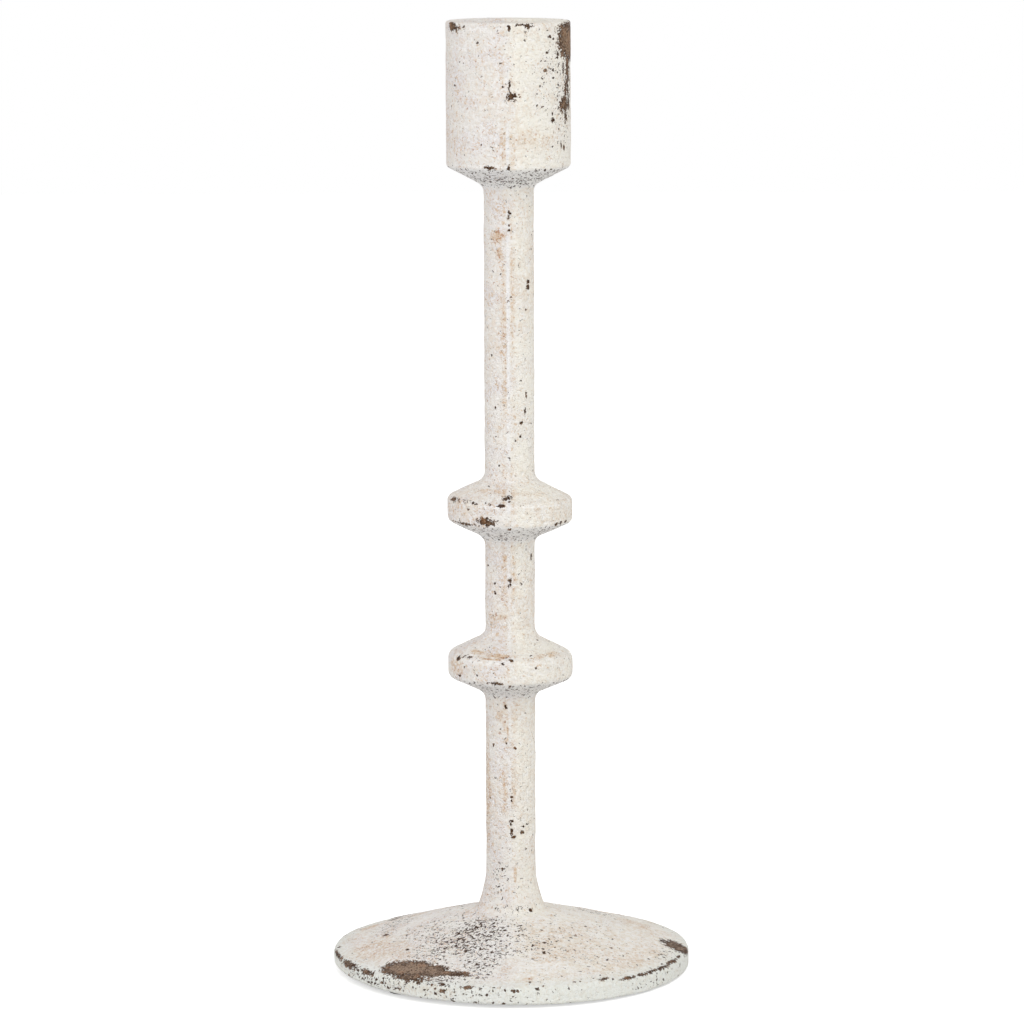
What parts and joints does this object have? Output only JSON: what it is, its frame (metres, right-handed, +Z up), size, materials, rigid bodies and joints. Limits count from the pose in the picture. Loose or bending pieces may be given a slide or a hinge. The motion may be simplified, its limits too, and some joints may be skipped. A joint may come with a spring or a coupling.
{
  "type": "candlestick",
  "caption": "Tall cast iron taper candlestick with distressed off-white paint: deep cylindrical cup, slim stem with two knops, and a round dished base.",
  "frame": {"origin": "on the tabletop under the column's axis, at the middle of the round base", "axes": "+Z up along the column's axis, +X to the right, -Y towards the viewer; the mould's parting line lies in the YZ plane"},
  "size_m": [0.1156, 0.1156, 0.3065],
  "materials": {
    "painted_casting": "matt off-white paint on a sand-cast skin, chipped to bare brown iron",
    "zinc_steel": "dull zinc plate",
    "felt": "dark pressed felt"
  },
  "bodies": {
    "root": {"column": "painted_casting", "base": "painted_casting", "stud": "zinc_steel", "flat_washer": "zinc_steel", "lock_washer": "zinc_steel", "hex_nut": "zinc_steel", "felt_pad_back_right": "felt", "felt_pad_back_left": "felt", "felt_pad_front_left": "felt", "felt_pad_front_right": "felt"}
  },
  "joints": []
}
